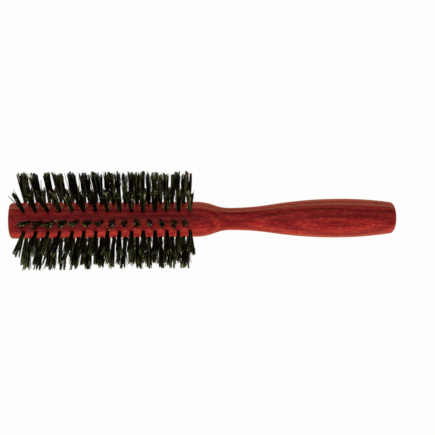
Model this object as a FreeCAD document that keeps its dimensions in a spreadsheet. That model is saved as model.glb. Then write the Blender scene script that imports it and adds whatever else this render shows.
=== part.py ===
import FreeCAD, Part
import math
import os

import Sketcher
from FreeCAD import Placement, Rotation, Vector

# A round barrel hairbrush. One turned piece of wood is barrel, neck and grip. Ten rows of holes are drilled
# into the barrel, and neighbouring rows are shifted by half a pitch. Each hole takes one tuft of bristles,
# folded under a wire staple whose legs are driven into the wood below the hole.
# Frame: +X runs along the turning axis from the flat barrel face (X = 0) to the butt, and +Z is up. Rows are
# counted round +X by the right-hand rule, from +Z. Two rows share the weight below.

DRIVING_SIZES = [
    # name, value (mm, degrees or a count), what it sets
    ("total_length", 235.0, "barrel face to butt face"),
    ("barrel_radius", 10.75, "plain cylinder that holds the tufts"),
    ("barrel_length", 111.0, "barrel face to the start of the shoulder"),
    ("face_rounding", 2.0, "rim of the barrel face"),
    ("shoulder_run", 21.0, "start of the shoulder to the thinnest place"),
    ("shoulder_share", 0.56, "part of the shoulder that curves outward"),
    ("neck_radius", 6.85, "thinnest place of the handle"),
    ("neck_share", 0.38, "part of the neck's long rise that curves inward"),
    ("grip_radius", 12.1, "thickest place of the grip"),
    ("butt_run", 34.5, "thickest place of the grip to the butt face"),
    ("butt_radius", 9.6, "butt face before its rim is rounded"),
    ("butt_rounding", 2.6, "rim of the butt face"),
    ("row_count", 10, "rows of tufts round the barrel, an even number"),
    ("long_row_tufts", 15, "tufts in every second row; the rows between have one fewer"),
    ("first_tuft_place", 9.0, "barrel face to the first tuft of a long row"),
    ("last_tuft_margin", 4.0, "last tuft of a long row to the start of the shoulder"),
    ("hole_radius", 1.2, "drilled hole for one tuft"),
    ("hole_depth", 6.0, "barrel surface to the end of the hole's straight wall"),
    ("drill_point_angle", 118.0, "included angle of the hole's bottom"),
    ("countersink", 0.2, "chamfer on the hole's rim"),
    ("tuft_length", 18.6, "barrel surface to the top of a tuft"),
    ("tuft_spread_radius", 2.0, "rim of a tuft's spread end"),
    ("tuft_crown", 0.4, "dome on a tuft's spread end"),
    ("tuft_clearance", 0.05, "gap between a tuft and the wall or staple it fits"),
    ("wire_radius", 0.25, "staple wire"),
    ("staple_side_gap", 0.3, "hole's wall to the side of the staple"),
    ("fold_height", 1.1, "folded bristles held under the staple's crown"),
    ("staple_bite", 2.2, "how far the legs reach below the hole's straight wall"),
    ("leg_clearance", 0.02, "gap between a staple's leg and its bore in the wood"),
    ("cut_overshoot", 1.0, "how far a cutting shape stands proud of the wood"),
]
WORKED_OUT_SIZES = [
    ("neck_place", "=barrel_length + shoulder_run", "barrel face to the thinnest place"),
    ("grip_place", "=total_length - butt_run", "barrel face to the thickest place"),
    ("shoulder_drop", "=barrel_radius - neck_radius", "barrel to neck"),
    ("neck_run", "=grip_place - neck_place", "thinnest place to thickest place"),
    ("neck_rise", "=grip_radius - neck_radius", "neck to grip"),
    ("shoulder_curve", "=shoulder_share * (shoulder_run^2 + shoulder_drop^2) / (2 * shoulder_drop)",
     "radius of the shoulder's outward curve"),
    ("neck_curve", "=neck_share * (neck_run^2 + neck_rise^2) / (2 * neck_rise)", "radius of the long inward curve"),
    ("row_angle", "=360 / row_count", "turn from one row to the next"),
    ("first_row_angle", "=row_angle / 2", "row 1"),
    ("second_row_angle", "=first_row_angle + row_angle", "row 2"),
    ("rows_of_a_kind", "=row_count / 2", "rows with equal places along the barrel"),
    ("short_row_tufts", "=long_row_tufts - 1", "tufts in rows 1, 3, 5 and so on"),
    ("tuft_pitch", "=(barrel_length - first_tuft_place - last_tuft_margin) / short_row_tufts", "tuft to tuft"),
    ("short_row_place", "=first_tuft_place + tuft_pitch / 2", "barrel face to the first tuft of a short row"),
    ("hole_end", "=barrel_radius - hole_depth", "axis to the end of the hole's straight wall"),
    ("hole_point", "=hole_end - hole_radius / tan(drill_point_angle / 2 * 1 deg)", "axis to the drill point"),
    ("countersink_end", "=barrel_radius - countersink", "axis to the lower end of the chamfer"),
    ("cut_top", "=barrel_radius + cut_overshoot", "axis to the top of the cutting shape"),
    ("cut_top_radius", "=hole_radius + countersink + cut_overshoot", "cutting shape's radius at its top"),
    ("plug_radius", "=hole_radius - tuft_clearance", "tuft inside its hole"),
    ("tuft_top", "=barrel_radius + tuft_length", "axis to the top of a tuft"),
    ("tuft_rim", "=tuft_top - tuft_crown", "axis to the rim of the dome"),
    ("staple_bend", "=hole_radius - staple_side_gap - wire_radius", "crown's centre line; legs are this far out"),
    ("bend_centre", "=hole_end + fold_height + wire_radius - staple_bend", "axis to the centre of the crown"),
    ("leg_end", "=hole_end - staple_bite", "axis to the end of a staple's legs"),
    ("leg_bore_radius", "=wire_radius + leg_clearance", "bore for a staple's leg"),
    ("leg_bore_end", "=leg_end - leg_clearance", "axis to the end of the leg's bore"),
    ("staple_slot_radius", "=wire_radius + tuft_clearance", "slot that a tuft leaves for its staple"),
]
ROW_KINDS = [
    # name, turn about +X, place of the first tuft, number of tufts: rows 1, 3, 5 ... and rows 2, 4, 6 ...
    ("short", "first_row_angle", "short_row_place", "short_row_tufts"),
    ("long", "second_row_angle", "first_tuft_place", "long_row_tufts"),
]
PART_FOLDER = "parts"
START, END, CENTRE = 1, 2, 3  # points of a sketch's line or arc
ORIGIN = (-1, START)
UPRIGHT_AXIS = -2  # a sketch's own vertical axis

doc = FreeCAD.newDocument("round_brush")
sheet = doc.addObject("Spreadsheet::Sheet", "sizes")
SIZE = {}


def fill_sheet():
    """Writes the driving sizes and those worked out from them, and keeps all their values in SIZE."""
    rows = DRIVING_SIZES + WORKED_OUT_SIZES
    for line, (name, value, meaning) in enumerate(rows, start=1):
        sheet.set(f"A{line}", name)
        sheet.set(f"B{line}", str(value))
        sheet.set(f"C{line}", meaning)
        sheet.setAlias(f"B{line}", name)
    doc.recompute()
    for name, _, _ in rows:
        value = sheet.get(name)
        SIZE[name] = float(getattr(value, "Value", value))


def new_body(label, turn=None):
    """An empty body, turned about +X by a formula of the sheet. It may hold several separate solids."""
    body = doc.addObject("PartDesign::Body", label)
    body.Label = label
    body.AllowCompound = True
    if turn:
        body.Placement = Placement(Vector(), Rotation(Vector(1, 0, 0), 1))
        body.setExpression("Placement.Rotation.Angle", turn)
    return body


def origin_feature(body, role):
    return next(feature for feature in body.Origin.OriginFeatures if feature.Role == role)


def new_sketch(body, name, role="XZ_Plane", turn=None, **shift):
    """A sketch on an origin plane of its body. turn names the angle about the sketch's own X axis, and
    shift names the sizes that move its origin, such as x="first_tuft_place"."""
    sketch = body.newObject("Sketcher::SketchObject", name)
    sketch.AttachmentSupport = [(origin_feature(body, role), "")]
    sketch.MapMode = "FlatFace"
    if turn:
        sketch.AttachmentOffset = Placement(Vector(), Rotation(Vector(1, 0, 0), SIZE[turn]))
        sketch.setExpression("AttachmentOffset.Rotation.Angle", f"sizes.{turn}")
    for axis, formula in shift.items():
        sketch.setExpression(f"AttachmentOffset.Base.{axis}", formula)
    return sketch


def bind(sketch, kind, *points, to):
    """Adds a dimension to the sketch and ties it to one size of the sheet."""
    number = sketch.addConstraint(Sketcher.Constraint(kind, *points, SIZE[to]))
    sketch.setExpression(f"Constraints[{number}]", f"sizes.{to}")


def add_line(sketch, start, end):
    """Adds a line. Returns (geometry, its first point, its last point)."""
    return sketch.addGeometry(Part.LineSegment(Vector(*start), Vector(*end)), False), START, END


def add_arc(sketch, centre, start, end, turns_left):
    """Adds an arc from start to end. Returns (geometry, its first point, its last point)."""
    angles = [math.atan2(point[1] - centre[1], point[0] - centre[0]) for point in (start, end)]
    circle = Part.Circle(Vector(*centre), Vector(0, 0, 1), math.dist(centre, start))
    if turns_left:
        return sketch.addGeometry(Part.ArcOfCircle(circle, *angles), False), START, END
    return sketch.addGeometry(Part.ArcOfCircle(circle, *reversed(angles)), False), END, START


def join(sketch, kind, piece, following):
    """Ties the last point of a piece to the first point of the one that follows it."""
    sketch.addConstraint(Sketcher.Constraint(kind, piece[0], piece[2], following[0], following[1]))


def add_outline(sketch, corners):
    """Closes a straight-sided outline. A corner is a pair of sizes; None puts it on the upright axis."""
    points = [(SIZE[across] if across else 0.0, SIZE[up]) for across, up in corners]
    sides = [add_line(sketch, point, points[(number + 1) % len(points)]) for number, point in enumerate(points)]
    for number, side in enumerate(sides):
        join(sketch, "Coincident", sides[number - 1], side)
        across, up = corners[number]
        if across:
            bind(sketch, "DistanceX", *ORIGIN, side[0], side[1], to=across)
        else:
            sketch.addConstraint(Sketcher.Constraint("PointOnObject", side[0], side[1], UPRIGHT_AXIS))
        bind(sketch, "DistanceY", *ORIGIN, side[0], side[1], to=up)


def s_curve(start, end, share):
    """Centres and meeting point of two arcs that leave start and reach end level. share is the first arc's
    part of the sum of their radii."""
    run, rise = end[0] - start[0], end[1] - start[1]
    radii_sum = (run**2 + rise**2) / (2 * abs(rise))
    toward = math.copysign(radii_sum, rise)
    first = (start[0], start[1] + share * toward)
    second = (end[0], end[1] - (1 - share) * toward)
    return first, second, (first[0] + share * run, first[1] + share * (second[1] - first[1]))


def add_level_end(sketch, arc, place, height):
    """Ties an arc's last point to two sizes and makes the arc level there."""
    geometry, _, last = arc
    bind(sketch, "DistanceX", *ORIGIN, geometry, last, to=place)
    bind(sketch, "DistanceY", *ORIGIN, geometry, last, to=height)
    sketch.addConstraint(Sketcher.Constraint("Vertical", geometry, last, geometry, CENTRE))


def draw_turned_profile(sketch):
    """Half outline of the wood: face, barrel, shoulder, neck, grip and butt, closed along the axis."""
    barrel_end = (SIZE["barrel_length"], SIZE["barrel_radius"])
    neck = (SIZE["neck_place"], SIZE["neck_radius"])
    grip = (SIZE["grip_place"], SIZE["grip_radius"])
    butt = (SIZE["total_length"], SIZE["butt_radius"])
    shoulder_centre, dip_centre, shoulder_meet = s_curve(barrel_end, neck, SIZE["shoulder_share"])
    rise_centre, belly_centre, rise_meet = s_curve(neck, grip, SIZE["neck_share"])
    back_run, back_drop = butt[0] - grip[0], grip[1] - butt[1]
    back_centre = (grip[0], grip[1] - (back_run**2 + back_drop**2) / (2 * back_drop))

    axis = add_line(sketch, (0, 0), (butt[0], 0))
    face = add_line(sketch, (0, 0), (0, barrel_end[1]))
    barrel = add_line(sketch, (0, barrel_end[1]), barrel_end)
    shoulder = add_arc(sketch, shoulder_centre, barrel_end, shoulder_meet, turns_left=False)
    dip = add_arc(sketch, dip_centre, shoulder_meet, neck, turns_left=True)
    rise = add_arc(sketch, rise_centre, neck, rise_meet, turns_left=True)
    belly = add_arc(sketch, belly_centre, rise_meet, grip, turns_left=False)
    back = add_arc(sketch, back_centre, grip, butt, turns_left=False)
    butt_face = add_line(sketch, butt, (butt[0], 0))

    for kind, geometry in (("Horizontal", axis), ("Vertical", face), ("Horizontal", barrel), ("Vertical", butt_face)):
        sketch.addConstraint(Sketcher.Constraint(kind, geometry[0]))
    for line in (axis, face):
        sketch.addConstraint(Sketcher.Constraint("Coincident", line[0], START, *ORIGIN))
    join(sketch, "Coincident", face, barrel)
    for piece, following in ((barrel, shoulder), (shoulder, dip), (dip, rise), (rise, belly), (belly, back)):
        join(sketch, "Tangent", piece, following)
    join(sketch, "Coincident", back, butt_face)
    sketch.addConstraint(Sketcher.Constraint("Coincident", butt_face[0], END, axis[0], END))

    bind(sketch, "DistanceX", *ORIGIN, axis[0], END, to="total_length")
    bind(sketch, "DistanceX", *ORIGIN, barrel[0], END, to="barrel_length")
    bind(sketch, "DistanceY", *ORIGIN, barrel[0], END, to="barrel_radius")
    bind(sketch, "Radius", shoulder[0], to="shoulder_curve")
    add_level_end(sketch, dip, "neck_place", "neck_radius")
    bind(sketch, "Radius", rise[0], to="neck_curve")
    add_level_end(sketch, belly, "grip_place", "grip_radius")
    bind(sketch, "DistanceY", *ORIGIN, back[0], back[2], to="butt_radius")


def round_rim(body, base, name, place, radius):
    """Rounds the sharp rim of the turned shape at X = place."""
    rims = [
        f"Edge{number}"
        for number, edge in enumerate(base.Shape.Edges, start=1)
        if edge.BoundBox.XLength < 1e-6 and abs(edge.CenterOfMass.x - place) < 1e-6
    ]
    rounding = body.newObject("PartDesign::Fillet", name)
    rounding.Base = (base, rims)
    rounding.setExpression("Radius", f"sizes.{radius}")
    doc.recompute()
    return rounding


def turn_outline(body, kind, sketch, name, axis):
    """A Revolution or Groove of the sketch, all the way round one of its own axes."""
    feature = body.newObject(kind, name)
    feature.Profile = sketch
    feature.ReferenceAxis = (sketch, [axis])
    feature.Angle = 360
    return feature


def add_bores(body, kind, turn, place, count):
    """Drills the holes and the bores for staple legs of all the rows of one kind."""
    bores = []
    bore_outlines = [
        ("hole", f"sizes.{place}", [
            (None, "hole_point"), ("hole_radius", "hole_end"), ("hole_radius", "countersink_end"),
            ("cut_top_radius", "cut_top"), (None, "cut_top"),
        ]),
    ]
    for side, sign in (("near", "-"), ("far", "+")):
        bore_outlines.append((f"{side}_leg", f"sizes.{place} {sign} sizes.staple_bend", [
            (None, "leg_bore_end"), ("leg_bore_radius", "leg_bore_end"),
            ("leg_bore_radius", "hole_end"), (None, "hole_end"),
        ]))
    for bore, shift, corners in bore_outlines:
        sketch = new_sketch(body, f"{kind}_{bore}_outline", turn=turn, x=shift)
        add_outline(sketch, corners)
        bores.append(turn_outline(body, "PartDesign::Groove", sketch, f"{kind}_{bore}", "V_Axis"))
        doc.recompute()

    along = add_row_pattern(body, f"{kind}_along", count)
    around = body.newObject("PartDesign::PolarPattern", f"{kind}_around")
    around.Axis = (origin_feature(body, "X_Axis"), [""])
    around.setExpression("Occurrences", "sizes.rows_of_a_kind")
    spread = body.newObject("PartDesign::MultiTransform", f"{kind}_spread")
    spread.Originals = bores
    spread.Transformations = [along, around]
    body.Tip = spread
    doc.recompute()


def add_row_pattern(body, name, count):
    """Repeats something along the barrel at the tufts' pitch."""
    pattern = body.newObject("PartDesign::LinearPattern", name)
    pattern.Direction = (origin_feature(body, "X_Axis"), [""])
    pattern.Mode = "Spacing"
    pattern.setExpression("Offset", "sizes.tuft_pitch")
    pattern.setExpression("Occurrences", f"sizes.{count}")
    return pattern


def make_wood():
    """Barrel, neck and grip in one turned piece, with a bore for each tuft and each staple leg."""
    body = new_body("brush_body")
    profile = new_sketch(body, "turned_profile")
    draw_turned_profile(profile)
    turned = turn_outline(body, "PartDesign::Revolution", profile, "turned_wood", "H_Axis")
    doc.recompute()
    rounded = round_rim(body, turned, "face_rim", 0.0, "face_rounding")
    round_rim(body, rounded, "butt_rim", SIZE["total_length"], "butt_rounding")
    for kind, turn, place, count in ROW_KINDS:
        add_bores(body, kind, turn, place, count)
    return body


def add_wire(body, kind, place, radius):
    """Bends a round wire into a staple's shape: two legs joined by a half-round crown."""
    path = new_sketch(body, f"{kind}_path", x=f"sizes.{place}")
    bend, crown, foot = SIZE["staple_bend"], SIZE["bend_centre"], SIZE["leg_end"]
    near_leg = add_line(path, (-bend, foot), (-bend, crown))
    arch = add_arc(path, (0, crown), (-bend, crown), (bend, crown), turns_left=False)
    far_leg = add_line(path, (bend, crown), (bend, foot))
    join(path, "Tangent", near_leg, arch)
    join(path, "Tangent", arch, far_leg)
    for leg in (near_leg, far_leg):
        path.addConstraint(Sketcher.Constraint("Vertical", leg[0]))
    path.addConstraint(Sketcher.Constraint("PointOnObject", arch[0], CENTRE, UPRIGHT_AXIS))
    bind(path, "Radius", arch[0], to="staple_bend")
    bind(path, "DistanceY", *ORIGIN, arch[0], CENTRE, to="bend_centre")
    bind(path, "DistanceY", *ORIGIN, near_leg[0], START, to="leg_end")
    bind(path, "DistanceY", *ORIGIN, far_leg[0], END, to="leg_end")

    shift = {"x": f"sizes.{place} - sizes.staple_bend", "z": "sizes.leg_end"}
    section = new_sketch(body, f"{kind}_section", "XY_Plane", **shift)
    ring = section.addGeometry(Part.Circle(Vector(), Vector(0, 0, 1), SIZE[radius]), False)
    section.addConstraint(Sketcher.Constraint("Coincident", ring, CENTRE, *ORIGIN))
    bind(section, "Radius", ring, to=radius)
    wire = body.newObject(f"PartDesign::{kind}", f"{kind}_wire")
    wire.Profile = section
    wire.Spine = path
    doc.recompute()


def repeat_along(body, count):
    """Repeats the body's whole shape along the barrel."""
    pattern = add_row_pattern(body, "row", count)
    pattern.TransformMode = "Whole shape"
    body.Tip = pattern
    doc.recompute()


def make_tuft_row(number, place, count, turn):
    """One row of tufts: a plug in each hole, a fold under the staple and a spread end."""
    body = new_body(f"tuft_row_{number:02}", turn)
    outline = new_sketch(body, "tuft_outline", x=f"sizes.{place}")
    base, rim, top = SIZE["hole_end"], SIZE["tuft_rim"], SIZE["tuft_top"]
    plug, spread = SIZE["plug_radius"], SIZE["tuft_spread_radius"]
    dome = (spread**2 + SIZE["tuft_crown"]**2) / (2 * SIZE["tuft_crown"])
    bottom = add_line(outline, (0, base), (plug, base))
    wall = add_line(outline, (plug, base), (plug, SIZE["barrel_radius"]))
    flare = add_line(outline, (plug, SIZE["barrel_radius"]), (spread, rim))
    crown = add_arc(outline, (0, top - dome), (spread, rim), (0, top), turns_left=True)
    core = add_line(outline, (0, top), (0, base))
    sides = [bottom, wall, flare, crown, core]
    for previous, side in zip([core] + sides, sides):
        join(outline, "Coincident", previous, side)
    outline.addConstraint(Sketcher.Constraint("Horizontal", bottom[0]))
    outline.addConstraint(Sketcher.Constraint("Vertical", wall[0]))
    for geometry, point in ((core[0], START), (core[0], END), (crown[0], CENTRE)):
        outline.addConstraint(Sketcher.Constraint("PointOnObject", geometry, point, UPRIGHT_AXIS))
    bind(outline, "DistanceX", *ORIGIN, wall[0], START, to="plug_radius")
    bind(outline, "DistanceX", *ORIGIN, flare[0], END, to="tuft_spread_radius")
    for geometry, point, height in (
        (wall[0], START, "hole_end"), (wall[0], END, "barrel_radius"),
        (flare[0], END, "tuft_rim"), (crown[0], crown[2], "tuft_top"),
    ):
        bind(outline, "DistanceY", *ORIGIN, geometry, point, to=height)
    turn_outline(body, "PartDesign::Revolution", outline, "tuft", "V_Axis")
    doc.recompute()
    add_wire(body, "SubtractivePipe", place, "staple_slot_radius")
    repeat_along(body, count)
    return body


def make_staple_row(number, place, count, turn):
    """One row of staples, which hold the tufts of the row."""
    body = new_body(f"staple_row_{number:02}", turn)
    add_wire(body, "AdditivePipe", place, "wire_radius")
    repeat_along(body, count)
    return body


def check_and_write(bodies):
    """Stops on a failed object or a bad shape, and otherwise writes each sub-part to its own file."""
    failed = [item.Label for item in doc.Objects if {"Invalid", "Error"} & set(item.State)]
    bad_shapes = [body.Label for body in bodies if body.Shape.isNull() or not body.Shape.isValid()]
    if failed or bad_shapes:
        raise RuntimeError(f"failed objects: {failed}; bad shapes: {bad_shapes}")
    os.makedirs(PART_FOLDER, exist_ok=True)
    for body in bodies:
        body.Shape.exportStep(os.path.join(PART_FOLDER, f"{body.Label}.step"))
        print(f"{body.Label}: {len(body.Shape.Solids)} solids, {body.Shape.Volume:.2f} mm3")


fill_sheet()
parts = [make_wood()]
for number in range(1, int(SIZE["row_count"]) + 1):
    _, _, place, count = ROW_KINDS[(number - 1) % 2]
    turn = f"sizes.first_row_angle + {number - 1} * sizes.row_angle"
    parts.append(make_tuft_row(number, place, count, turn))
    parts.append(make_staple_row(number, place, count, turn))
doc.recompute()
check_and_write(parts)
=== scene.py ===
import math
from typing import NamedTuple

import bmesh
import bpy
import numpy as np
from bpy.props import FloatProperty, FloatVectorProperty, IntProperty, PointerProperty
from mathutils import Matrix, Vector


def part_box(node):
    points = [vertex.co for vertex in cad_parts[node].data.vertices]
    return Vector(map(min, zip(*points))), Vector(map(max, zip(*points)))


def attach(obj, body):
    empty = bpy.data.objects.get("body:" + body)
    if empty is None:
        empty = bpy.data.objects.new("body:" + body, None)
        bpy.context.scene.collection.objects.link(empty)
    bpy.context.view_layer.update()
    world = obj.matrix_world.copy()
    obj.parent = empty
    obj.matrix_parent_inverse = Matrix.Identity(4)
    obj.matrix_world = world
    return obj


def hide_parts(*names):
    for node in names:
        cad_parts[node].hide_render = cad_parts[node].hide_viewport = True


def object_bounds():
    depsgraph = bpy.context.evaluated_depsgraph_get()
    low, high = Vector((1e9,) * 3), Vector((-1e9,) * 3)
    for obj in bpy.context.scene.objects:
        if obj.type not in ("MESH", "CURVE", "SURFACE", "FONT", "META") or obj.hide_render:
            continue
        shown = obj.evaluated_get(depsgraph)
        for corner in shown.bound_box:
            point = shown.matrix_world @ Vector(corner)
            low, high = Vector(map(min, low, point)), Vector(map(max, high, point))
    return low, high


bl_info = {
    "name": "Round Barrel Hairbrush",
    "version": (1, 0, 0),
    "blender": (4, 5, 0),
    "location": "3D View > Sidebar > Hairbrush",
    "description": "Turned red wooden hairbrush with rows of dark bristle tufts, on a pale studio floor",
    "category": "Object",
}

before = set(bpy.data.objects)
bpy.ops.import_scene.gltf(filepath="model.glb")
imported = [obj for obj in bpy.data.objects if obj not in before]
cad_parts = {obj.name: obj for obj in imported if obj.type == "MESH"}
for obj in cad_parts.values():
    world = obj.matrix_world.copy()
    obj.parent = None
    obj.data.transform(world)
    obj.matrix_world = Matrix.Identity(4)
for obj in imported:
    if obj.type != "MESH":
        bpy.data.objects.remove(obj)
CAD_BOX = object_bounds()

MM = 0.001
WOOD_NODE = "brush_body"
TUFT_NODES = sorted(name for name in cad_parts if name.startswith("tuft_row_"))
STAPLE_NODES = sorted(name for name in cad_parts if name.startswith("staple_row_"))

# The turned wood: lengths along the axis from the barrel's flat face, and radii about the axis.
BRUSH_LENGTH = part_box(WOOD_NODE)[1].x
BARREL_RADIUS = 10.75 * MM
BARREL_LENGTH = 111 * MM
FACE_ROUNDING = 2.0 * MM
NECK = (132 * MM, 6.85 * MM)
SHOULDER_SHARE = 0.56
GRIP = (BRUSH_LENGTH - 34.5 * MM, 12.1 * MM)
NECK_SHARE = 0.38
BUTT_RADIUS = 9.6 * MM
BUTT_ROUNDING = 2.6 * MM
HOLE_RADIUS = 1.2 * MM
HOLE_DEPTH = 6.0 * MM
DRILL_POINT = 0.7 * MM
COUNTERSINK = 0.2 * MM
FACETS = 80  # round the wood
CELL = 4  # facets along each side of the square of wood that holds one tuft hole
ARC_STEPS = 24  # along each curve of the handle
RIM_STEPS = 8  # along each rounded rim
FACE_STEPS = 4  # from the middle of each flat end to its rim
SHARP_EDGE = math.radians(35)  # from which an edge of the wood shows as an edge
WELD = 1e-6  # distance within which two points are one


def color_property(name, description, default):
    return FloatVectorProperty(name=name, description=description, subtype="COLOR", size=3, min=0, max=1,
                               default=default)


def share_property(name, description, default):
    return FloatProperty(name=name, description=description, subtype="FACTOR", min=0, max=1,
                         default=default)


class WoodSettings(bpy.types.PropertyGroup):
    """Stain, grain and varnish of the turned wood."""
    stain: color_property("Stain", "Colour of the plain wood", (0.290, 0.0065, 0.0150))
    dark_grain: color_property("Dark grain", "Colour of the dense late growth", (0.13, 0.0030, 0.0080))
    light_grain: color_property("Light grain", "Colour of the open early growth", (0.52, 0.060, 0.034))
    layer: FloatProperty(name="Growth layer", description="Thickness of one growth layer", unit="LENGTH",
                         default=2.6 * MM)
    varnish: share_property("Varnish", "How much of the wood the varnish covers", 0.30)


class BristleSettings(bpy.types.PropertyGroup):
    """Number, shape and colours of the bristles."""
    per_tuft: IntProperty(name="Bristles in a tuft", description="Bristle ends that stand out of one hole",
                          min=8, max=120, default=72)
    thickness: FloatProperty(name="Thickness", description="Diameter of a bristle at its root",
                             unit="LENGTH", default=0.39 * MM)
    unevenness: FloatProperty(name="Uneven ends", description="Typical difference in length between bristles",
                              unit="LENGTH", default=0.9 * MM)
    stray_share: share_property("Strays", "Share of the bristles that stand away from their tuft", 0.07)
    pale_share: share_property("Pale share", "Share of the bristles that are pale", 0.09)
    dark: color_property("Dark bristles", "Colour of most bristles", (0.0035, 0.0035, 0.0016))
    olive: color_property("Olive bristles", "Colour of the in-between bristles", (0.095, 0.112, 0.042))
    pale: color_property("Pale bristles", "Colour of the palest bristles", (0.60, 0.53, 0.30))
    seed: IntProperty(name="Seed", description="Starts the random order of the bristles", default=7)


class StageSettings(bpy.types.PropertyGroup):
    """Floor, lamps and camera."""
    floor: color_property("Floor", "Colour of the floor", (0.86, 0.86, 0.86))
    camera_distance: FloatProperty(name="Camera distance", description="Camera to the brush's axis",
                                   unit="LENGTH", default=500 * MM)
    camera_elevation: FloatProperty(name="Camera elevation", description="Camera above the horizon",
                                    unit="ROTATION", default=math.radians(77.5))
    camera_yaw: FloatProperty(name="Camera yaw", description="Camera turned toward the handle",
                              unit="ROTATION", default=math.radians(6.2))
    camera_roll: FloatProperty(name="Camera roll", description="Camera turned about its own line of sight",
                               unit="ROTATION", default=math.radians(0.47))
    lens: FloatProperty(name="Lens", description="Focal length in millimetres", default=67.8)


# ---------------------------------------------------------------- finishes

WHITE = (1.0, 1.0, 1.0)
WARM = (1.0, 0.66, 0.36)
CREAM = (1.0, 0.88, 0.72)
DULL_WIRE = (0.42, 0.41, 0.39)
BRIGHT_WIRE = (0.68, 0.67, 0.64)

# How finely each pattern of the wood repeats along the brush and across it, per metre.
WANDER = (9, 70, 70)
FIBRES = (110, 1900, 1900)
STREAKS = (26, 620, 620)
MOTTLE = (450, 1300, 1300)
PORES = (260, 5200, 5200)
LAYERS = (0.045, 0.3, 0.3)  # in the thickness of one growth layer
LAYER_TURN = (0.9, 0.0, 0.05)
# How much of the colour beneath each growth and the pores hide.
OPEN_GROWTH_COVER = 0.8
DENSE_GROWTH_COVER = 0.85
PORE_COVER = 0.45
PORE_SHADE = 0.4  # of the dark grain's colour

FLOOR_TOOTH = 0.04  # how much of the floor's colour its tooth darkens, and what is left of it there
TOOTH_SHADE = 0.9
CAMERA_WHITE = 0.97  # share of plain white in the floor that the camera sees
AIR_BRIGHTNESS = 0.10  # of the light from all round, and what the varnish sees on top of it
AIR_MIRRORED = 0.10


class Wire:
    """A node's output, with the arithmetic that the finishes use."""

    def __init__(self, shader, socket):
        self.shader = shader
        self.socket = socket

    def maths(self, operation, first, second):
        return self.shader.node("ShaderNodeMath", {"operation": operation}, {0: first, 1: second})

    def __add__(self, other):
        return self.maths("ADD", self, other)

    def __sub__(self, other):
        return self.maths("SUBTRACT", self, other)

    def __rsub__(self, other):
        return self.maths("SUBTRACT", other, self)

    def __mul__(self, other):
        return self.maths("MULTIPLY", self, other)

    __radd__ = __add__
    __rmul__ = __mul__


class Shader:
    """A material or a world that is being built node by node."""

    def __init__(self, owner):
        self.owner = owner
        self.owner.use_nodes = True
        self.tree = self.owner.node_tree
        self.tree.nodes.clear()

    def node(self, kind, settings=None, inputs=None, output=0):
        """Adds a node, sets it up and then its sockets, and returns one of its outputs."""
        node = self.tree.nodes.new(kind)
        for name, value in (settings or {}).items():
            if name == "stops":
                self.set_stops(node.color_ramp, value)
            else:
                setattr(node, name, value)
        for name, value in (inputs or {}).items():
            if isinstance(value, Wire):
                self.tree.links.new(value.socket, node.inputs[name])
            else:
                node.inputs[name].default_value = value
        return Wire(self, node.outputs[output]) if node.outputs else None

    def set_stops(self, ramp, stops):
        while len(ramp.elements) < len(stops):
            ramp.elements.new(1)
        for element, (place, level) in zip(ramp.elements, stops):
            element.position = place
            element.color = (level, level, level, 1)

    def ramp(self, factor, *stops):
        """Numbers along a ramp of (place, level) stops."""
        return self.node("ShaderNodeValToRGB", {"stops": stops}, {"Fac": factor})

    def blend(self, factor, first, second):
        """Mixes two colours."""
        return self.node("ShaderNodeMix", {"data_type": "RGBA"}, {0: factor, 6: first, 7: second}, output=2)

    def place(self, scale, turn=(0, 0, 0)):
        """Object coordinates, turned and stretched."""
        spot = self.node("ShaderNodeTexCoord", output="Object")
        return self.node("ShaderNodeMapping", {}, {"Vector": spot, "Rotation": turn, "Scale": scale})

    def noise(self, scale, detail=2.0, roughness=0.5):
        return self.node("ShaderNodeTexNoise", {}, {
            "Vector": self.place(scale), "Scale": 1.0, "Detail": detail, "Roughness": roughness,
        })

    def ray(self, kind):
        """1 for a ray of that kind and 0 for the others."""
        return self.node("ShaderNodeLightPath", output="Is " + kind + " Ray")

    def close(self, kind, surface):
        """Ends the nodes in an output node and returns the finished material or world."""
        self.node(kind, {}, {"Surface": surface})
        return self.owner

    def finish(self, **sockets):
        """Ends the material in one Principled shader. In a socket's name, _ stands for a space."""
        inputs = {name.replace("_", " "): value for name, value in sockets.items()}
        surface = self.node("ShaderNodeBsdfPrincipled", {}, inputs)
        return self.close("ShaderNodeOutputMaterial", surface)


def rgba(color):
    return (*color, 1.0)


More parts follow.
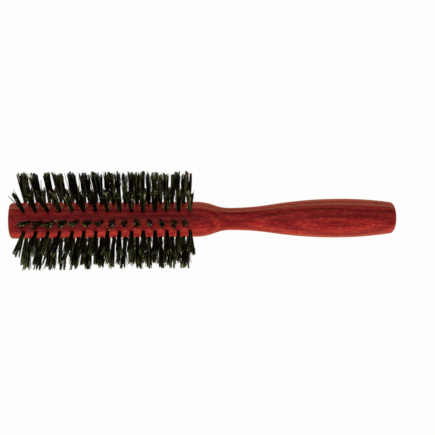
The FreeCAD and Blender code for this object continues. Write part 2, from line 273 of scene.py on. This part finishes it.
def make_wood_finish(wood):
    """Red stained wood, sawn along the brush: growth layers, fibres and short pores under satin varnish."""
    shader = Shader(bpy.data.materials.new("red_varnished_wood"))
    wander = shader.noise(WANDER, detail=3)
    layers = shader.node("ShaderNodeTexWave", {"wave_type": "BANDS", "bands_direction": "Y"}, {
        "Vector": shader.place([part / wood.layer for part in LAYERS], LAYER_TURN),
        "Scale": 1.0, "Distortion": 5.0, "Detail": 3.0, "Detail Scale": 1.3, "Phase Offset": wander * 6.0,
    }, output="Fac")
    fibres = shader.noise(FIBRES, detail=3, roughness=0.65)
    streaks = shader.noise(STREAKS, detail=5, roughness=0.6)
    mottle = shader.noise(MOTTLE, detail=2, roughness=0.7)
    pores = shader.ramp(shader.noise(PORES, detail=1), (0.30, 1.0), (0.40, 0.0))

    dense = shader.ramp(layers * 0.26 + streaks, (0.46, 0.0), (0.84, 1.0))
    open_growth = shader.ramp(streaks * 0.3 + fibres * 0.7 + mottle * 0.8, (0.80, 0.0), (1.04, 1.0))
    color = shader.blend(open_growth * OPEN_GROWTH_COVER, rgba(wood.stain), rgba(wood.light_grain))
    color = shader.blend(dense * DENSE_GROWTH_COVER, color, rgba(wood.dark_grain))
    color = shader.blend(pores * PORE_COVER, color, rgba([part * PORE_SHADE for part in wood.dark_grain]))
    relief = shader.node("ShaderNodeBump", {}, {
        "Strength": 0.12, "Distance": 0.05 * MM, "Height": fibres * 0.6 + mottle * 0.5 - pores * 0.5,
    })
    return shader.finish(
        Base_Color=color,
        Roughness=0.34 + dense * 0.08 + fibres * 0.1,
        Normal=relief,
        Coat_Weight=wood.varnish,
        Specular_IOR_Level=0.06,
        Coat_Roughness=0.12,
        Coat_IOR=1.5,
    )


def make_bristle_finish(settings):
    """Each bristle has its own shade, from near black through olive to pale, with painted shade toward its
    root, and slight rings along it.
    """
    shader = Shader(bpy.data.materials.new("bristle_dark_and_pale"))
    shade = shader.node("ShaderNodeAttribute", {"attribute_name": "shade"}, output="Fac")
    along = shader.noise((900, 900, 900))
    olive = shader.ramp(shade, (0.28, 0.0), (0.52, 1.0))
    pale = shader.ramp(shade + along * 0.12, (0.90, 0.0), (1.0, 1.0))
    color = shader.blend(olive, rgba(settings.dark), rgba(settings.olive))
    color = shader.blend(pale, color, rgba(settings.pale))
    return shader.finish(Base_Color=color, Roughness=0.36 + along * 0.18, Specular_IOR_Level=0.15)


def make_wire_finish():
    """Bright drawn wire with faint die lines."""
    shader = Shader(bpy.data.materials.new("staple_wire"))
    lines = shader.noise((700, 6000, 6000))
    color = shader.blend(lines, rgba(DULL_WIRE), rgba(BRIGHT_WIRE))
    return shader.finish(Base_Color=color, Metallic=1.0, Roughness=0.22 + lines * 0.2)


def make_floor_finish(stage):
    """Pale matt paper. The camera sees it nearly white and the varnish warm, and it keeps the shadow."""
    shader = Shader(bpy.data.materials.new("pale_paper"))
    tooth = shader.noise((300, 300, 300)) * FLOOR_TOOTH
    paper = shader.node("ShaderNodeBsdfDiffuse", {}, {
        "Color": shader.blend(tooth, rgba(stage.floor), rgba([part * TOOTH_SHADE for part in stage.floor])),
    })
    mirrored = shader.ray("Glossy")
    bright = shader.node("ShaderNodeEmission", {}, {
        "Color": shader.blend(mirrored, rgba(WHITE), rgba(WARM)), "Strength": 1.0,
    })
    seen = shader.ray("Camera") * CAMERA_WHITE + mirrored + shader.ray("Transmission")
    surface = shader.node("ShaderNodeMixShader", {}, {0: seen, 1: paper, 2: bright})
    return shader.close("ShaderNodeOutputMaterial", surface)


def make_studio_air():
    """Dim even light from all round, which the camera sees white and the varnish as pale grey."""
    shader = Shader(bpy.data.worlds.new("studio"))
    mirrored = shader.ray("Glossy") + shader.ray("Transmission")
    strength = shader.ray("Camera") * (1 - AIR_BRIGHTNESS) + mirrored * AIR_MIRRORED + AIR_BRIGHTNESS
    air = shader.node("ShaderNodeBackground", {}, {"Color": rgba(WHITE), "Strength": strength})
    return shader.close("ShaderNodeOutputWorld", air)


# ---------------------------------------------------------------- pieces


def keep_piece(mesh, name, material, node):
    """Turns a mesh into a finished piece that stands for a CAD node."""
    mesh.materials.append(material)
    piece = bpy.data.objects.new(name, mesh)
    bpy.context.scene.collection.objects.link(piece)
    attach(piece, "root")
    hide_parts(node)
    return piece


class Row(NamedTuple):
    """A row of tufts: its turn about +X from +Z, each tuft's place along the brush, how far from the brush's
    axis the tufts end, and a tuft's radius there."""
    turn: float
    places: list
    top: float
    spread: float


def read_row(node):
    """Measures a row of tufts on its CAD node."""
    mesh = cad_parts[node].data
    points = np.empty(len(mesh.vertices) * 3)
    mesh.vertices.foreach_get("co", points)
    points = points.reshape(-1, 3)
    out = np.hypot(points[:, 1], points[:, 2])
    tops = points[out > out.max() - MM]
    turn = math.atan2(-tops[:, 1].mean(), tops[:, 2].mean())
    places = np.sort(tops[:, 0])
    tufts = np.split(places, np.flatnonzero(np.diff(places) > MM) + 1)
    centres = [(tuft[0] + tuft[-1]) / 2 for tuft in tufts]
    height = points[:, 2] * math.cos(turn) - points[:, 1] * math.sin(turn)
    return Row(turn, centres, height.max(), (tufts[0][-1] - tufts[0][0]) / 2)


def arc_points(centre, start, sweep, steps=ARC_STEPS):
    """Points that follow start on an arc about centre. A positive sweep turns left."""
    arm = Vector(start) - Vector(centre)
    return [Vector(centre) + Matrix.Rotation(sweep * step / steps, 2) @ arm for step in range(1, steps + 1)]


def level_s_curve(start, end, share):
    """Points of two tangent arcs that leave start and reach end level. share is the first arc's part of the
    sum of their radii."""
    run, rise = end[0] - start[0], end[1] - start[1]
    radii = (run**2 + rise**2) / (2 * abs(rise))
    side = math.copysign(1, rise)
    sweep = side * math.asin(run / radii)
    first = arc_points((start[0], start[1] + side * share * radii), start, sweep)
    return first + arc_points((end[0], end[1] - side * (1 - share) * radii), first[-1], -sweep)


def spin_profile(bm, points):
    """Turns a profile of (length, radius) points all the way round the brush's axis."""
    verts = [bm.verts.new((length, 0, radius)) for length, radius in points]
    edges = [bm.edges.new(pair) for pair in zip(verts, verts[1:])]
    bmesh.ops.spin(bm, geom=verts + edges, cent=(0, 0, 0), axis=(1, 0, 0), angle=math.tau, steps=FACETS,
                   use_merge=True)


def face_profile():
    """The barrel's flat face and its rounded rim."""
    corner = (FACE_ROUNDING, BARREL_RADIUS - FACE_ROUNDING)
    rim = (0, corner[1])
    flat = [(0, corner[1] * part / FACE_STEPS) for part in range(FACE_STEPS)]
    return flat + [rim] + arc_points(corner, rim, -math.pi / 2, RIM_STEPS)


def handle_profile():
    """Shoulder, neck, grip and butt, down to the middle of the butt's flat end."""
    barrel_end = (BARREL_LENGTH, BARREL_RADIUS)
    run, drop = BRUSH_LENGTH - GRIP[0], GRIP[1] - BUTT_RADIUS
    back = (run**2 + drop**2) / (2 * drop)
    back_centre = (GRIP[0], GRIP[1] - back)
    corner_length = BRUSH_LENGTH - BUTT_ROUNDING
    corner_reach = back - BUTT_ROUNDING
    lean = math.asin((corner_length - GRIP[0]) / corner_reach)
    corner = (corner_length, back_centre[1] + corner_reach * math.cos(lean))
    points = [barrel_end] + level_s_curve(barrel_end, NECK, SHOULDER_SHARE)
    points += level_s_curve(NECK, GRIP, NECK_SHARE)
    points += arc_points(back_centre, GRIP, -lean)
    points += arc_points(corner, points[-1], lean - math.pi / 2, RIM_STEPS)
    return points + [(BRUSH_LENGTH, corner[1] * part / FACE_STEPS) for part in reversed(range(FACE_STEPS))]


def drill(bm, faces, centre):
    """Swaps one square of the flat sheet for a countersunk hole with a drill point at its end."""
    outline = [edge for edge in {edge for face in faces for edge in face.edges}
               if len(set(edge.link_faces) & set(faces)) == 1]
    bmesh.ops.delete(bm, geom=faces, context="FACES_KEEP_BOUNDARY")
    mouth = HOLE_RADIUS + COUNTERSINK
    spot = Matrix.Translation((*centre, 0)) @ Matrix.Rotation(math.pi / (4 * CELL), 4, "Z")
    ring = bmesh.ops.create_circle(bm, segments=4 * CELL, radius=mouth, matrix=spot)["verts"]
    edges = list({edge for vert in ring for edge in vert.link_edges})
    bmesh.ops.bridge_loops(bm, edges=outline + edges)
    steps = (
        (HOLE_RADIUS / mouth, COUNTERSINK),
        (1.0, HOLE_DEPTH - COUNTERSINK),
        (0.0, DRILL_POINT),
    )
    for narrowing, sink in steps:
        grown = bmesh.ops.extrude_edge_only(bm, edges=edges)["geom"]
        ring = [item for item in grown if isinstance(item, bmesh.types.BMVert)]
        edges = [item for item in grown if isinstance(item, bmesh.types.BMEdge)
                 and item.verts[0] in ring and item.verts[1] in ring]
        about_centre = Matrix.Translation((*-centre, 0))
        bmesh.ops.scale(bm, verts=ring, vec=(narrowing, narrowing, 1), space=about_centre)
        bmesh.ops.translate(bm, verts=ring, vec=(0, 0, -sink))
    bmesh.ops.pointmerge(bm, verts=ring, merge_co=(*centre, -HOLE_DEPTH - DRILL_POINT))


def make_barrel(bm):
    """The drilled cylinder: a flat sheet is drilled square by square and then rolled round the axis."""
    rows = [read_row(node) for node in TUFT_NODES]
    places = sorted(place for row in rows for place in row.places)
    first, last = places[0], places[-1]
    pitch = rows[1].places[1] - rows[1].places[0]
    steps = round((last - first) / pitch * 2)
    step = (last - first) / steps
    width = math.tau * BARREL_RADIUS / (FACETS // CELL)
    sheet = bmesh.ops.create_grid(bm, x_segments=(steps + 1) * CELL, y_segments=FACETS, size=0.5)["verts"]
    bmesh.ops.scale(bm, verts=sheet, vec=((steps + 1) * step, math.tau * BARREL_RADIUS, 1))
    bmesh.ops.translate(bm, verts=sheet, vec=((first + last) / 2, 0, 0))

    squares = {}
    for face in bm.faces:
        middle = face.calc_center_median()
        key = (math.floor((middle.x - first) / step + 0.5), math.floor(middle.y / width + 0.5))
        squares.setdefault(key, []).append(face)
    for row in rows:
        across = round(row.turn * BARREL_RADIUS / width)
        for place in row.places:
            drill(bm, squares[round((place - first) / step), across], Vector((place, across * width)))

    lengths = [vert.co.x for vert in bm.verts]
    for end, old_end in ((BARREL_LENGTH, max(lengths)), (FACE_ROUNDING, min(lengths))):
        border = [edge for edge in bm.edges if all(abs(vert.co.x - old_end) < WELD for vert in edge.verts)]
        grown = bmesh.ops.extrude_edge_only(bm, edges=border)["geom"]
        moved = [item for item in grown if isinstance(item, bmesh.types.BMVert)]
        bmesh.ops.translate(bm, verts=moved, vec=(end - old_end, 0, 0))
    for vert in bm.verts:
        roll = Matrix.Rotation(vert.co.y / BARREL_RADIUS, 3, "X")
        vert.co = roll @ Vector((vert.co.x, 0, BARREL_RADIUS + vert.co.z))


def make_turned_wood(material):
    """Barrel, neck and grip in one piece, with an open hole for every tuft."""
    bm = bmesh.new()
    make_barrel(bm)
    spin_profile(bm, face_profile())
    spin_profile(bm, handle_profile())
    bmesh.ops.remove_doubles(bm, verts=bm.verts, dist=WELD)
    bmesh.ops.recalc_face_normals(bm, faces=bm.faces)
    for face in bm.faces:
        face.smooth = True
    for edge in bm.edges:
        edge.smooth = edge.calc_face_angle(0) < SHARP_EDGE
    mesh = bpy.data.meshes.new("turned_wood")
    bm.to_mesh(mesh)
    bm.free()
    return keep_piece(mesh, "turned_wood", material, WOOD_NODE)


RINGS = 8  # rings of points along one bristle
SIDES = 4  # points round it
STRANDS = 9  # strands that the bristles of one tuft gather in
ROOT_SHARE = 0.84  # of the hole's radius that the bristles' centres fill
TAPER = 0.22  # of its thickness that a bristle loses toward its tip

# Typical leans of the tips: of a strand, of a bristle from its strand and of a stray, all in tuft radii.
STRAND_LEAN = 0.58
BRISTLE_LEAN = 0.07
STRAY_LEAN = 0.9
LEAN_LIMIT = 1.6  # greatest of these leans together
LEAN_INWARD = 0.35  # of its root's distance from the middle that a bristle leans back over it
BOW = 0.10  # typical sideways bow of a bristle, in tuft radii
FREE_END_FAN = 3.5 * MM  # how far the tips at the free end lean outward along the brush
FAN_LENGTH = 85 * MM  # of the barrel, from its free end
FAN_FALL = 1.3  # above 1, the lean stays longer before it fades

SHORT_SHARE = 0.14  # of the bristles that end early, and by how much they do
SHORT_BY = (1.0 * MM, 6.0 * MM)
MEAN_BELOW_TOP = 0.7 * MM  # typical end of a strand, below the CAD tuft's top
LONGEST_PAST_TOP = 0.7 * MM  # end of the longest bristles, above it
OWN_UNEVENNESS = 0.5  # of a bristle in its strand, as a share of the unevenness between strands

# Shades go from 0 for the darkest bristles to 1 for the palest.
STRAND_SHADE = 0.62  # of the palest plain strand
SHADE_FALL = 3.5  # above 1, most strands are dark
SHADE_SPREAD = 0.10  # typical difference of a bristle from its strand
PLAIN_SHADES = (0, 0.6)
PALE_SHADES = (0.75, 1.0)
TIP_SHADES = (0.3, 0.9)
PAINTED_ROOT_SHADE = 0.25  # of its own shade that a bristle keeps at its root: painted shade, where the tuft shades itself
PALE_TIP_SHARE = 0.22  # of the bristles that end in a paler tip
PALE_STRANDS = 0.8  # share of the strands that are pale ones, in pale shares
PALE_IN_STRAND = 0.75  # share of a pale strand's bristles that are pale
PALE_ELSEWHERE = 0.5  # the same in the other strands, in pale shares


class Bristles(NamedTuple):
    """One entry for each bristle of a row. Roots, leans and bows are (along the brush, across the row), and
    outer is how far from the brush's axis a bristle ends."""
    root: np.ndarray
    lean: np.ndarray
    bow: np.ndarray
    outer: np.ndarray
    shade: np.ndarray
    tip: np.ndarray


def make_plain_bristle():
    """One straight bristle of unit length and unit radius along +Z, with closed ends."""
    bm = bmesh.new()
    bmesh.ops.create_circle(bm, cap_ends=True, segments=SIDES, radius=1.0)
    face = list(bm.faces)
    for _ in range(RINGS - 1):
        grown = bmesh.ops.extrude_face_region(bm, geom=face)["geom"]
        ring = [item for item in grown if isinstance(item, bmesh.types.BMVert)]
        face = [item for item in grown if isinstance(item, bmesh.types.BMFace)]
        bmesh.ops.translate(bm, verts=ring, vec=(0, 0, 1 / (RINGS - 1)))
    bmesh.ops.recalc_face_normals(bm, faces=bm.faces)
    mesh = bpy.data.meshes.new("plain_bristle")
    bm.to_mesh(mesh)
    bm.free()
    return mesh


def fan_out(places):
    """How far each tuft of a row leans along the brush. The lean fades away from the free end."""
    return -FREE_END_FAN * (1 - np.minimum(np.array(places) / FAN_LENGTH, 1) ** FAN_FALL)


def draw_bristles(row, settings, random):
    """The bristles of a row, drawn at random."""
    count = settings.per_tuft * len(row.places)
    strands = STRANDS * len(row.places)
    tuft = np.repeat(np.arange(len(row.places)), settings.per_tuft)
    strand = tuft * STRANDS + random.integers(0, STRANDS, count)

    bearing = random.uniform(0, math.tau, count)
    reach = ROOT_SHARE * HOLE_RADIUS * np.sqrt(random.uniform(0, 1, count))
    root = np.stack([np.cos(bearing), np.sin(bearing)], 1) * reach[:, None]
    lean = random.normal(0, STRAND_LEAN * row.spread, (strands, 2))[strand] - LEAN_INWARD * root
    lean += random.normal(0, BRISTLE_LEAN * row.spread, (count, 2))
    stray = random.uniform(0, 1, count) < settings.stray_share
    lean += stray[:, None] * random.normal(0, STRAY_LEAN * row.spread, (count, 2))
    length = np.hypot(lean[:, 0], lean[:, 1])
    lean *= np.minimum(1, LEAN_LIMIT * row.spread / np.maximum(length, WELD))[:, None]
    lean[:, 0] += fan_out(row.places)[tuft]
    root[:, 0] += np.array(row.places)[tuft]
    bow = random.normal(0, BOW * row.spread, (count, 2))

    outer = row.top - MEAN_BELOW_TOP + random.normal(0, settings.unevenness, strands)[strand]
    outer += random.normal(0, OWN_UNEVENNESS * settings.unevenness, count)
    outer -= (random.uniform(0, 1, count) < SHORT_SHARE) * random.uniform(*SHORT_BY, count)
    outer = np.minimum(outer, row.top + LONGEST_PAST_TOP)

    shade = STRAND_SHADE * random.uniform(0, 1, strands)[strand] ** SHADE_FALL
    shade += random.normal(0, SHADE_SPREAD, count)
    pale_strand = random.uniform(0, 1, strands)[strand] < PALE_STRANDS * settings.pale_share
    pale_share = np.where(pale_strand, PALE_IN_STRAND, PALE_ELSEWHERE * settings.pale_share)
    pale = random.uniform(0, 1, count) < pale_share
    shade = np.where(pale, random.uniform(*PALE_SHADES, count), np.clip(shade, *PLAIN_SHADES))
    tip = (random.uniform(0, 1, count) < PALE_TIP_SHARE) * random.uniform(*TIP_SHADES, count)
    return Bristles(root, lean, bow, outer, shade, tip)


def bend_bristles(plain, row, bristles, thickness, random):
    """The points of a row's bristles: the plain bristle, stretched, bent, tapered and set in place."""
    shape = np.empty(len(plain.vertices) * 3)
    plain.vertices.foreach_get("co", shape)
    around, across, along = shape.reshape(-1, 3).T
    inner = BARREL_RADIUS - HOLE_DEPTH + DRILL_POINT
    height = inner + (bristles.outer - inner)[:, None] * along
    rise = np.clip((height - BARREL_RADIUS) / (row.top - BARREL_RADIUS), 0, None)
    radius = thickness / 2 * (1 - TAPER * np.clip(rise, 0, 1) ** 2)
    bowing = 4 * rise * (1 - rise)  # 1 half way up, and 0 at the wood and the tip
    twist = random.uniform(0, math.tau, len(bristles.outer))[:, None]
    x = bristles.root[:, :1] + bristles.lean[:, :1] * rise + bristles.bow[:, :1] * bowing
    x += radius * (around * np.cos(twist) - across * np.sin(twist))
    y = bristles.root[:, 1:] + bristles.lean[:, 1:] * rise + bristles.bow[:, 1:] * bowing
    y += radius * (around * np.sin(twist) + across * np.cos(twist))
    return np.stack([x, y * math.cos(row.turn) - height * math.sin(row.turn),
                     y * math.sin(row.turn) + height * math.cos(row.turn)], 2)


def shade_bristles(plain, bristles):
    """The shade of every point: painted shade that darkens each bristle toward its root, where the tuft
    shades itself, and pale at some of the tips.
    """
    along = np.array([vert.co.z for vert in plain.vertices])[None]
    # painted shade: each bristle's colour darkens toward its root, where the tuft shades itself
    shade = bristles.shade[:, None] * (PAINTED_ROOT_SHADE + (1 - PAINTED_ROOT_SHADE) * along)
    return np.maximum(shade, bristles.tip[:, None] * (along > 1 - 1 / RINGS))


def make_bristle_row(plain, node, settings, material, random):
    """All the bristles of one row, with a shade of its own on each."""
    row = read_row(node)
    bristles = draw_bristles(row, settings, random)
    bm = bmesh.new()
    for _ in bristles.outer:
        bm.from_mesh(plain)
    mesh = bpy.data.meshes.new(node.replace("tuft", "bristle"))
    bm.to_mesh(mesh)
    bm.free()
    points = bend_bristles(plain, row, bristles, settings.thickness, random)
    mesh.vertices.foreach_set("co", points.reshape(-1))
    # the shade attribute holds each bristle's own tone together with the painted shade toward its root
    attribute = mesh.attributes.new("shade", "FLOAT", "POINT")
    attribute.data.foreach_set("value", shade_bristles(plain, bristles).reshape(-1).astype(np.float32))
    mesh.shade_smooth()
    mesh.update()
    return keep_piece(mesh, mesh.name, material, node)


# ---------------------------------------------------------------- stage

FLOOR_HALF_WIDTH = 3.0
CAMERA_FOOT = 72.6 * MM  # place along the brush that the camera stands square to
CAMERA_RAISE = 0.96 * MM  # upward in its view
CAMERA_SHIFT = -0.009  # of the view, as a share of its width
CAMERA_NEAREST = 10 * MM
# Name, place, width and height in metres, brightness, colour, and whether the varnish mirrors it.
SOFTBOXES = (
    ("front_softbox", (0.1, -0.8, 0.14), (1.3, 0.24), 8.5, CREAM, False),
    ("back_softbox", (0.1, 0.6, 0.12), (1.4, 0.26), 2.6, WARM, True),
    ("top_softbox", (0.1, -0.2, 1.1), (0.8, 0.8), 2.1, WHITE, False),
)


def add_softbox(name, place, size, brightness, color, mirrored):
    """A rectangular lamp, aimed at the middle of the brush, whose face is as bright as paper of that
    brightness."""
    lamp = bpy.data.lights.new(name, "AREA")
    lamp.shape = "RECTANGLE"
    lamp.size, lamp.size_y = size
    lamp.energy = brightness * math.pi * size[0] * size[1]
    lamp.color = color
    holder = bpy.data.objects.new(name, lamp)
    bpy.context.scene.collection.objects.link(holder)
    place = Vector(place)
    aim = (Vector((BRUSH_LENGTH / 2, 0, 0)) - place).to_track_quat("-Z", "Y")
    holder.matrix_world = Matrix.LocRotScale(place, aim, None)
    holder.visible_glossy = mirrored
    return holder


def make_floor(stage):
    """A flat floor that the lowest tufts rest on."""
    bm = bmesh.new()
    bmesh.ops.create_grid(bm, x_segments=1, y_segments=1, size=FLOOR_HALF_WIDTH,
                          matrix=Matrix.Translation((BRUSH_LENGTH / 2, 0, CAD_BOX[0].z)))
    mesh = bpy.data.meshes.new("floor")
    bm.to_mesh(mesh)
    bm.free()
    mesh.materials.append(make_floor_finish(stage))
    floor = bpy.data.objects.new("floor", mesh)
    bpy.context.scene.collection.objects.link(floor)
    return floor


def add_camera(stage):
    """Looks down on the barrel, square to the brush but for a small turn toward the handle."""
    lens = bpy.data.cameras.new("camera")
    lens.lens = stage.lens
    lens.shift_x = CAMERA_SHIFT
    lens.clip_start = CAMERA_NEAREST
    camera = bpy.data.objects.new("camera", lens)
    bpy.context.scene.collection.objects.link(camera)
    toward = Vector((0, -math.cos(stage.camera_elevation), math.sin(stage.camera_elevation)))
    up = Vector((0, math.sin(stage.camera_elevation), math.cos(stage.camera_elevation)))
    upright = Matrix((Vector((1, 0, 0)), up, toward)).transposed()
    turned = upright @ Matrix.Rotation(-stage.camera_yaw, 3, "Y")
    turned = turned @ Matrix.Rotation(-stage.camera_roll, 3, "Z")
    place = Vector((CAMERA_FOOT, 0, 0)) + toward * stage.camera_distance + up * CAMERA_RAISE
    camera.matrix_world = Matrix.LocRotScale(place, turned.to_quaternion(), None)
    bpy.context.scene.camera = camera


# ---------------------------------------------------------------- operators and panel


class HAIRBRUSH_OT_turn_wood(bpy.types.Operator):
    """Turn the wood and drill its tuft holes"""
    bl_idname = "hairbrush.turn_wood"
    bl_label = "Turn Wood"

    def execute(self, context):
        make_turned_wood(make_wood_finish(context.scene.hairbrush_wood))
        return {"FINISHED"}


class HAIRBRUSH_OT_set_bristles(bpy.types.Operator):
    """Set every row of bristle tufts"""
    bl_idname = "hairbrush.set_bristles"
    bl_label = "Set Bristles"

    def execute(self, context):
        settings = context.scene.hairbrush_bristles
        material = make_bristle_finish(settings)
        plain = make_plain_bristle()
        random = np.random.default_rng(settings.seed)
        for node in TUFT_NODES:
            make_bristle_row(plain, node, settings, material, random)
        bpy.data.meshes.remove(plain)
        return {"FINISHED"}


class HAIRBRUSH_OT_finish_staples(bpy.types.Operator):
    """Give the staples under the tufts their wire finish"""
    bl_idname = "hairbrush.finish_staples"
    bl_label = "Finish Staples"

    def execute(self, context):
        material = make_wire_finish()
        for node in STAPLE_NODES:
            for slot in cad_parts[node].material_slots:
                slot.material = material
        return {"FINISHED"}


class HAIRBRUSH_OT_set_stage(bpy.types.Operator):
    """Lay the floor and set up the lamps and the camera"""
    bl_idname = "hairbrush.set_stage"
    bl_label = "Set Stage"

    def execute(self, context):
        stage = context.scene.hairbrush_stage
        make_floor(stage)
        [add_softbox(*softbox) for softbox in SOFTBOXES]
        context.scene.world = make_studio_air()
        context.scene.view_settings.view_transform = "Standard"
        add_camera(stage)
        return {"FINISHED"}


class HAIRBRUSH_PT_sidebar(bpy.types.Panel):
    """Lists the brush's pieces and its stage"""
    bl_idname = "HAIRBRUSH_PT_sidebar"
    bl_label = "Round Barrel Hairbrush"
    bl_space_type = "VIEW_3D"
    bl_region_type = "UI"
    bl_category = "Hairbrush"

    def draw(self, context):
        for operator, settings in STEPS:
            column = self.layout.column(align=True)
            column.operator(operator.bl_idname)
            if settings:
                group = getattr(context.scene, settings)
                for name in group.__annotations__:
                    column.prop(group, name)


STEPS = (
    (HAIRBRUSH_OT_turn_wood, "hairbrush_wood"),
    (HAIRBRUSH_OT_set_bristles, "hairbrush_bristles"),
    (HAIRBRUSH_OT_finish_staples, None),
    (HAIRBRUSH_OT_set_stage, "hairbrush_stage"),
)
SETTINGS = {
    "hairbrush_wood": WoodSettings,
    "hairbrush_bristles": BristleSettings,
    "hairbrush_stage": StageSettings,
}


def register():
    for name, group in SETTINGS.items():
        bpy.utils.register_class(group)
        setattr(bpy.types.Scene, name, PointerProperty(type=group))
    for operator, _ in STEPS:
        bpy.utils.register_class(operator)
    bpy.utils.register_class(HAIRBRUSH_PT_sidebar)


def unregister():
    bpy.utils.unregister_class(HAIRBRUSH_PT_sidebar)
    for operator, _ in reversed(STEPS):
        bpy.utils.unregister_class(operator)
    for name, group in reversed(SETTINGS.items()):
        delattr(bpy.types.Scene, name)
        bpy.utils.unregister_class(group)


def main():
    register()
    bpy.ops.hairbrush.turn_wood()
    bpy.ops.hairbrush.set_bristles()
    bpy.ops.hairbrush.finish_staples()
    bpy.ops.hairbrush.set_stage()


if __name__ == "__main__":
    main()
